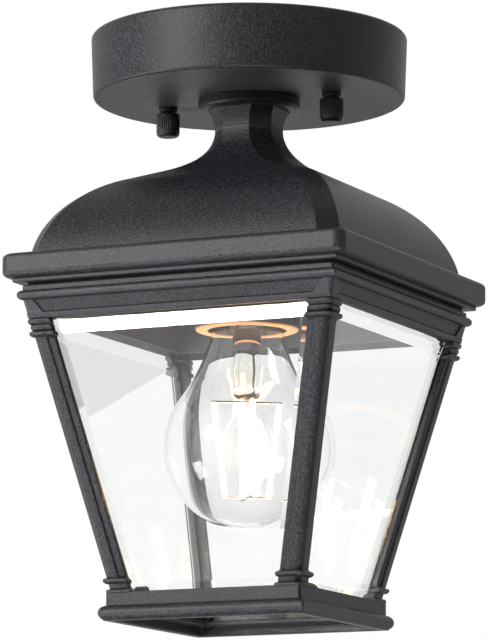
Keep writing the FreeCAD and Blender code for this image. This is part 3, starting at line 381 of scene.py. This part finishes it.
def bell(inset):
    """The bell curve from the neck to the eave, and the same curve set in for the hollow."""
    def on_side(share_out, share_down):
        """A point of the curve, by its shares of the way out and of the way down."""
        return (NECK_HALF + (EAVE_HALF - NECK_HALF) * share_out - inset,
                CROWN + (EAVE - CROWN) * share_down - inset)
    shoulder = on_side(0.091, 0.213)
    saddle = on_side(0.318, 0.356)
    crest = on_side(0.505, 0.429)
    return ([on_side(0, 0)] + arc(on_side(0, 0), on_side(0.022, 0.114), shoulder, 8)
            + arc(shoulder, on_side(0.174, 0.281), saddle, 8) + [crest]
            + arc(crest, on_side(0.813, 0.626), on_side(1, 1), 16))


fascia = eased([(EAVE_HALF, EAVE, 0), (FASCIA_HALF, -86.3, 1.9), (FASCIA_HALF, FASCIA_UNDER, 2.0),
                (MOUTH_HALF, FASCIA_UNDER, 0)], 5)
fascia_floor = FASCIA_UNDER + ROOF_WALL
mouth = [(MOUTH_HALF, FASCIA_UNDER), (MOUTH_HALF, fascia_floor), (EAVE_HALF - ROOF_WALL, fascia_floor)]
roof_rings = (around([(TUBE_HOLE, CROWN, None, 1.0)]) + square_ring(bell(0), CORNER_LEG, 1.0)
              + square_ring(fascia[1:-1], FASCIA_LEG, 3.4) + square_ring(mouth, FASCIA_LEG, 1.0)
              + square_ring(bell(ROOF_WALL)[:0:-1], HOLLOW_LEG, 1.0)
              + square_ring([(NECK_HALF - ROOF_WALL, HOLLOW_TOP)], HOLLOW_LEG, 1.0)
              + around([(TUBE_HOLE, HOLLOW_TOP, None, 1.0)]))
roof = piece("roof_casting", [closed_skin(roof_rings)], "lantern", black_cast)
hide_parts("roof")


# ---- top frame ----
# A cast cornice screwed up under the roof: thin lip, groove, flat reed, round bead, and a leaning
# frieze with a small lip. Corner blocks carry the leaning line of the posts up to the bead.
LEAN = 0.229
CAGE_HALF = 59.15
FRAME_UNDER = -109.1
FRAME_TOP = FASCIA_UNDER - 0.05
LIP_HALF = 63.5
LIP_UNDER = -96.3
GROOVE_HALF = 59.4
GROOVE_UNDER = -97.3
REED_HALF = 60.75
REED_UNDER = -99.0
BEAD_UNDER = -102.4
REBATE_TOP = -106.5


def cage(height):
    """Half width over the posts' outer faces at a height."""
    return CAGE_HALF + LEAN * (height - FRAME_UNDER)


frame_outline = eased([
    (MOUTH_HALF, FRAME_TOP, 0), (LIP_HALF, FRAME_TOP, 0.2), (LIP_HALF, LIP_UNDER, 0.5),
    (GROOVE_HALF, LIP_UNDER, 0.3), (GROOVE_HALF, GROOVE_UNDER, 0.2), (REED_HALF, GROOVE_UNDER, 0.35),
    (REED_HALF, REED_UNDER, 0)], 4)
frame_outline += arc((REED_HALF, REED_UNDER), (62.35, -100.7), (60.1, BEAD_UNDER), 8)
frame_outline += eased([
    (59.2, -102.6, 0), (60.05, -102.6, 0), (59.1, -106.7, 0.1), (58.75, -106.9, 0.05),
    (59.65, -107.05, 0.3), (59.16, FRAME_UNDER, 0.5), (56.55, FRAME_UNDER, 0.1),
    (57.15, REBATE_TOP, 0.1), (MOUTH_HALF, REBATE_TOP, 0)], 3)[1:]


def corner_block(quarter):
    """A corner block from the bead down to a post, at one quarter turn."""
    rings = []
    for height, width, grow in ((-101.6, 4.6, 0), (BEAD_UNDER, 4.6, 0), (-108.7, 8.0, 0),
                                (FRAME_UNDER, 8.1, -0.4)):
        half = cage(height) + grow
        back = cage(height) - width
        plan = eased([(half, half, 1.6), (back, half, 0.7), (back, back, 0.4), (half, back, 0.7)], 4)
        rings.append(quarter_turned([(x, y, height) for x, y in plan], quarter))
    return capped_skin(rings)


def quarter_turned(points, quarter):
    """Points turned about the upright axis by so many quarter turns."""
    for _ in range(quarter):
        points = [(-y, x, z) for x, y, z in points]
    return points


def capped_skin(rings):
    """Faces between rings, closed by one face at each end."""
    points, faces = closed_skin(rings)
    count = len(rings[0])
    faces = faces[:-count]
    faces.append(tuple(range(count)))
    faces.append(tuple(range(len(points) - count, len(points))))
    return points, faces


top_frame = piece(
    "cornice_casting",
    [closed_skin(square_ring(frame_outline, 0.5, 0.7))] + [corner_block(quarter) for quarter in range(4)],
    "lantern", black_cast)
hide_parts("top_frame")


# ---- posts ----
# Four cast corner posts that lean inwards: a rounded column with a lower flange beside it over
# the glass, three rings turned under the frieze, and two at the foot above the sill.
POST = 8.4
COLUMN = 5.3
FLANGE = 2.6
STEP = 0.6
TOP_RINGS = ((FRAME_UNDER, 0.75), (-111.3, 0.45), (-113.5, 1.35))
FOOT_RINGS = ((-200.6, 1.35), (-204.5, 1.35))
RING = 2.2


def post_levels():
    """Heights down a post, with how far a ring stands out there and how deep the step is."""
    levels = []
    for top, proud in TOP_RINGS + FOOT_RINGS:
        if top == FOOT_RINGS[0][0]:
            levels += [(-116.3, 0.0, STEP), (top + 0.6, 0.0, STEP), (top + 0.1, 0.0, 0.05)]
        for step in range(9):
            share = step / 8
            levels.append((top - RING * share, proud * math.sqrt(1 - (2 * share - 1) ** 2), 0.05))
        if top == TOP_RINGS[-1][0]:
            levels.append((-115.8, 0.0, 0.05))
    return sorted(set(levels), reverse=True)


def post_ring(height, proud, step):
    """The section of the post at the first corner, at one height."""
    half = cage(height)
    out = half + proud
    side = half - POST - proud * 0.6
    inner = half - FLANGE
    edge = out - step
    column = half - COLUMN
    corners = [(side, edge, 0.5), (column - 0.5, edge, 0.3), (column, out, 0.6), (out, out, 2.3),
               (out, column, 0.6), (edge, column - 0.5, 0.3), (edge, side, 0.5),
               (inner, side, 0.2), (inner, inner, 0.1), (side, inner, 0.2)]
    return [(x, y, height) for x, y in eased(corners, 4)]


for quarter, corner in enumerate(("back_right", "back_left", "front_left", "front_right")):
    post_rings = [quarter_turned(post_ring(*level), quarter) for level in post_levels()]
    post = piece("corner_post_" + corner, [capped_skin(post_rings)], "lantern",
                 black_cast, 40)
    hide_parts("post_" + corner)


# ---- sill ----
# The bottom frame, cast in one: a plain band between the feet of the posts over a half round
# bead, open in the middle so that a hand can change the bulb. Its ledge carries the panes.
BAND_TOP = -205.6
BAND_HALF = 38.0
BAND_UNDER = -210.4
LEDGE = -210.6
LEDGE_UNDER = -212.2
LEDGE_HALF = 34.9
OPENING_HALF = 31.2
RIM_HALF = 35.8
BASE_UNDER = -215.8
sill_outline = eased([(LEDGE_HALF, BAND_TOP, 0), (BAND_HALF, BAND_TOP, 0.4),
                      (BAND_HALF, BAND_UNDER, 0)], 3)
sill_outline += arc((BAND_HALF, BAND_UNDER), (40.24, -212.9), (38.9, -215.4), 10)
sill_outline += eased([
    (38.9, -215.5, 0), (38.7, BASE_UNDER, 0.2), (RIM_HALF, BASE_UNDER, 0.4), (RIM_HALF, LEDGE_UNDER, 0.2),
    (OPENING_HALF, LEDGE_UNDER, 0.3), (OPENING_HALF, LEDGE, 0.3), (LEDGE_HALF, LEDGE, 0)], 3)[1:]
sill = piece("sill_casting", [closed_skin(square_ring(sill_outline, 0.6, 0.9))], "lantern",
             black_cast)
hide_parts("bottom_frame")


# ---- panes ----
# Four panes of clear 3 mm float glass with a polished 8 mm bevel ground round the outer face.
# They stand on the sill's ledge behind the posts; the cut edges look green.
PANE_PLAY = 0.1
PANE_TOP = REBATE_TOP - PANE_PLAY
PANE_LOW = LEDGE
BEVEL = 8.0
EDGE = 1.74
SLANT_THICK = 3.08
MITRE = 0.3


def clear_glass(name, tint, ior, green=None):
    """Polished clear glass. Lamps shine through it; the surface bends and mirrors what is seen."""
    made, tree, shader = finish_for(name, 0.0, Base_Color=colour(tint), Transmission_Weight=1.0,
                                    IOR=ior)
    drawn = next(item for item in tree.nodes if item.type == "OUTPUT_MATERIAL")
    place = add(tree, "ShaderNodeTexCoord").outputs["Object"]
    wipe = add(tree, "ShaderNodeTexNoise", {"Vector": place, "Scale": 1 / (35 * MM), "Detail": 2.0})
    haze = add(tree, "ShaderNodeMapRange",
               {"Value": wipe.outputs["Fac"], "From Min": 0.45, "From Max": 0.75, "To Max": 0.03})
    tree.links.new(haze.outputs[0], shader.inputs["Roughness"])
    shadow = add(tree, "ShaderNodeLightPath").outputs["Is Shadow Ray"]
    let_through = add(tree, "ShaderNodeBsdfTransparent", {"Color": colour("#f4f6f5")})
    surface = add(tree, "ShaderNodeMixShader",
                  {0: shadow, 1: shader.outputs[0], 2: let_through.outputs[0]})
    tree.links.new(surface.outputs[0], drawn.inputs["Surface"])
    if green:
        depth = add(tree, "ShaderNodeVolumeAbsorption", {"Color": colour(green), "Density": 11.0})
        tree.links.new(depth.outputs[0], drawn.inputs["Volume"])
    return made


float_glass = clear_glass("polished_float_glass", "#ffffff", 1.52, "#a9d8c4")


def pane(quarter):
    """One pane at a quarter turn: the face inside the bevel, the bevel's thin edge, the back."""
    def rectangle(top, low, depth, inset):
        """Four corners at a depth behind the face, set in from the pane's upright edges."""
        ring = []
        for height, side in ((top, -1), (top, 1), (low, 1), (low, -1)):
            face = cage(height) - FLANGE - PANE_PLAY
            ring.append((face - depth, side * (face - depth - MITRE - inset), height))
        return quarter_turned(ring, quarter)
    rings = [rectangle(PANE_TOP - BEVEL, PANE_LOW + BEVEL, 0.0, BEVEL),
             rectangle(PANE_TOP, PANE_LOW, EDGE, 0.0), rectangle(PANE_TOP, PANE_LOW, SLANT_THICK, 0.0)]
    return capped_skin(rings)


for quarter, side in enumerate(("right", "back", "left", "front")):
    sheet = piece("bevelled_pane_" + side, [pane(quarter)], "lantern", float_glass, 1)
    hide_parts("glass_" + side)


# ---- glass clips ----
# Small bent steel tabs, black coated, one beside the left post of each side, that keep a pane's
# lower edge against the flanges.
CLIP_SEAT = -205.65
CLIP_ARCH = ((33.9, 0.0), (34.0, 1.2), (34.5, 1.75), (35.6, 1.8), (36.8, 1.35), (37.7, 0.5), (37.9, 0.0))


def clip(quarter):
    """One bent tab at a quarter turn, as an arch of sections from the pane out over the sill."""
    rings = []
    for across, rise in CLIP_ARCH:
        section = ((-26.9, 0.0), (-26.9, rise * 0.8), (-26.6, rise), (-22.8, rise),
                   (-22.5, rise * 0.8), (-22.5, 0.0))
        ring = [(across, along, CLIP_SEAT + height) for along, height in section]
        rings.append(quarter_turned(ring, quarter))
    return capped_skin(rings)


clips = piece("glass_clip_tabs", [clip(quarter) for quarter in range(4)], "lantern",
              black_cast, 50)
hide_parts("glass_clips")


# ---- lampholder ----
# A dark glazed ceramic cup under a plated steel cap, with a brass screw shell and contact. Only
# its lower rim shows, lit warm by the bulb; that rim's warm orange is also painted into its colour, a
# painted glow.
# Heights between which the painted warm glow on the holder's rim fades out upwards.
PAINTED_GLOW_TOP = -108.2
PAINTED_GLOW_FULL = -108.6


def plain_finish(name, tint, deep, roughness, metallic, grain_mm, relief_mm, **values):
    """A finish of one colour that wanders a little, with a fine grain in its gloss and relief."""
    made, tree, shader = finish_for(name, roughness, Metallic=metallic, **values)
    place = add(tree, "ShaderNodeTexCoord").outputs["Object"]
    cloud = add(tree, "ShaderNodeTexNoise", {"Vector": place, "Scale": 1 / (9 * MM), "Detail": 3.0})
    grain = add(tree, "ShaderNodeTexNoise",
                {"Vector": place, "Scale": 1 / (grain_mm * MM), "Detail": 2.0})
    tint_mix = add(tree, "ShaderNodeMix", data_type="RGBA",
                   sockets={0: cloud.outputs["Fac"], 6: colour(tint), 7: colour(deep)})
    tree.links.new(tint_mix.outputs[2], shader.inputs["Base Color"])
    gloss = add(tree, "ShaderNodeMapRange",
                {"Value": grain.outputs["Fac"], "To Min": roughness * 0.8, "To Max": roughness * 1.25})
    tree.links.new(gloss.outputs[0], shader.inputs["Roughness"])
    relief = add(tree, "ShaderNodeBump",
                 {"Height": grain.outputs["Fac"], "Strength": 0.4, "Distance": relief_mm * MM})
    tree.links.new(relief.outputs[0], shader.inputs["Normal"])
    return made


def dress(finish, *names):
    """Give CAD nodes that keep their own shape a finish in all their slots."""
    for name in names:
        mesh = nodes[name].data
        if not mesh.materials:
            mesh.materials.append(finish)
        for index in range(len(mesh.materials)):
            nodes[name].material_slots[index].link = "OBJECT"
            nodes[name].material_slots[index].material = finish


ceramic = plain_finish("dark_glazed_ceramic_with_painted_rim_glow", "#17120f", "#1f1814", 0.3, 0.0, 1.6, 0.03,
                       IOR=1.5)
ceramic_tree = ceramic.node_tree
# The holder's lowest edge is painted warm orange, fading out upwards: a painted glow of the bulb's light
# on its rim.
painted_glow_height = add(ceramic_tree, "ShaderNodeSeparateXYZ",
                  {"Vector": add(ceramic_tree, "ShaderNodeTexCoord").outputs["Object"]})
painted_glow_fade = add(ceramic_tree, "ShaderNodeMapRange",
             {"Value": painted_glow_height.outputs["Z"],
              "From Min": PAINTED_GLOW_FULL * MM, "From Max": PAINTED_GLOW_TOP * MM})
holder_colour_input = ceramic_tree.nodes["Principled BSDF"].inputs["Base Color"]
painted_glow_or_glaze = add(ceramic_tree, "ShaderNodeMix", data_type="RGBA",
                   sockets={0: painted_glow_fade.outputs[0], 6: colour("#b8763c"),
                            7: holder_colour_input.links[0].from_socket})
ceramic_tree.links.new(painted_glow_or_glaze.outputs[2], holder_colour_input)
brass = plain_finish("drawn_brass", "#c9a55c", "#b08c48", 0.28, 1.0, 0.4, 0.01)
zinc_steel = plain_finish("zinc_plated_steel", "#b9bbbd", "#9c9fa3", 0.34, 1.0, 0.5, 0.02)
dress(ceramic, "lampholder_body")
dress(brass, "lampholder_shell", "lampholder_contact")
dress(zinc_steel, "lampholder_cap")


# ---- bulb ----
# A clear 60 mm bulb on a nickelled screw base. Its thin blown envelope holds a wide glass stem
# whose wires carry four straight light rods, further apart at their heads than at their feet.
BULB_HEAD = -96.4
BASE_MOUTH = -101.4
WIDEST = -151.4
envelope_outer = ([(11.7, BULB_HEAD), (11.7, BASE_MOUTH)]
                  + arc((11.7, BASE_MOUTH), (15.56, -118.26), (24.0, -133.4), 16)
                  + arc((24.0, -133.4), (30.0, WIDEST), (21.213, -172.613), 20)
                  + arc((21.213, -172.613), (11.48, -179.116), (0.6, -181.394), 12) + [(0.0, -181.4)])
envelope_inner = ([(10.8, BULB_HEAD), (10.8, BASE_MOUTH)]
                  + arc((10.8, BASE_MOUTH), (14.75, -118.4), (23.28, -133.94), 16)
                  + arc((23.28, -133.94), (29.1, WIDEST), (20.577, -171.977), 20)
                  + arc((20.577, -171.977), (11.136, -178.285), (0.6, -180.494), 12) + [(0.0, -180.5)])
blown_glass = clear_glass("blown_bulb_glass", "#ffffff", 1.46)
envelope = piece("bulb_envelope_glass", [turned(envelope_outer + envelope_inner[::-1], 160)],
                 "bulb_envelope", blown_glass)
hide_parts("bulb_glass")

stem_outline = ([(0.0, BULB_HEAD), (10.4, BULB_HEAD), (10.4, -97.4)]
                + arc((10.4, -97.4), (7.5, -103.5), (5.0, -112.6), 8)
                + [(4.6, -118.0), (5.2, -124.0), (4.4, -128.8), (4.9, -131.0)]
                + arc((4.9, -131.0), (4.3, -133.0), (2.4, -133.8), 5) + [(0.0, -133.8)])
pressed_glass = clear_glass("pressed_stem_glass", "#fdfaf4", 1.5)
stem = piece("bulb_stem_glass", [turned(stem_outline, 72)], "bulb_core", pressed_glass, 50)
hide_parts("bulb_stem")

warm_phosphor, phosphor_tree, phosphor_shader = finish_for(
    "glowing_phosphor_rods", 0.6, Base_Color=colour("#f6d79a"), Emission_Color=colour("#ffc684"))
phosphor_grain = add(phosphor_tree, "ShaderNodeTexNoise",
                     {"Vector": add(phosphor_tree, "ShaderNodeTexCoord").outputs["Object"],
                      "Scale": 1 / (1.5 * MM), "Detail": 2.0})
phosphor_glow = add(phosphor_tree, "ShaderNodeMapRange",
                    {"Value": phosphor_grain.outputs["Fac"], "To Min": 92.0, "To Max": 116.0})
phosphor_tree.links.new(phosphor_glow.outputs[0], phosphor_shader.inputs["Emission Strength"])
dress(warm_phosphor, "bulb_light_rods")

nickel = plain_finish("nickelled_brass", "#c4c1bb", "#aeaba5", 0.22, 1.0, 0.4, 0.01)
black_glass = plain_finish("black_insulating_glass", "#191817", "#242220", 0.12, 0.0, 2.0, 0.02,
                           IOR=1.5)
solder = plain_finish("lead_free_solder", "#a9aaa8", "#8f908e", 0.42, 1.0, 0.8, 0.05)
dress(nickel, "bulb_base", "bulb_wires")
dress(black_glass, "bulb_insulator")
dress(solder, "bulb_tip")


# ---- hardware under the canopy and in the roof ----
# The crossbar, its studs and lock nuts, the threaded tube with its nuts and washers, and the
# screws that hold the frame under the roof: zinc plated steel, and a green dipped ground screw.
dress(zinc_steel, "crossbar", "mounting_studs", "stud_lock_nuts", "threaded_tube", "canopy_washer",
      "canopy_nut", "roof_washer", "roof_nut", "roof_screws")
green_steel = plain_finish("green_dipped_steel", "#2f7d46", "#256a3a", 0.38, 0.0, 0.6, 0.03)
dress(green_steel, "ground_screw")


# ---- leads ----
# The lantern's own two stranded leads in soft PVC, up the threaded tube to twist-on connectors
# of moulded plastic.
dress(plain_finish("black_lead_pvc", "#17171a", "#202024", 0.45, 0.0, 0.7, 0.03), "lead_black")
dress(plain_finish("white_lead_pvc", "#e8e6df", "#d9d6cd", 0.45, 0.0, 0.7, 0.03), "lead_white")
dress(plain_finish("moulded_connector_plastic", "#d2601f", "#b8521a", 0.4, 0.0, 0.8, 0.04),
      "wire_connectors")
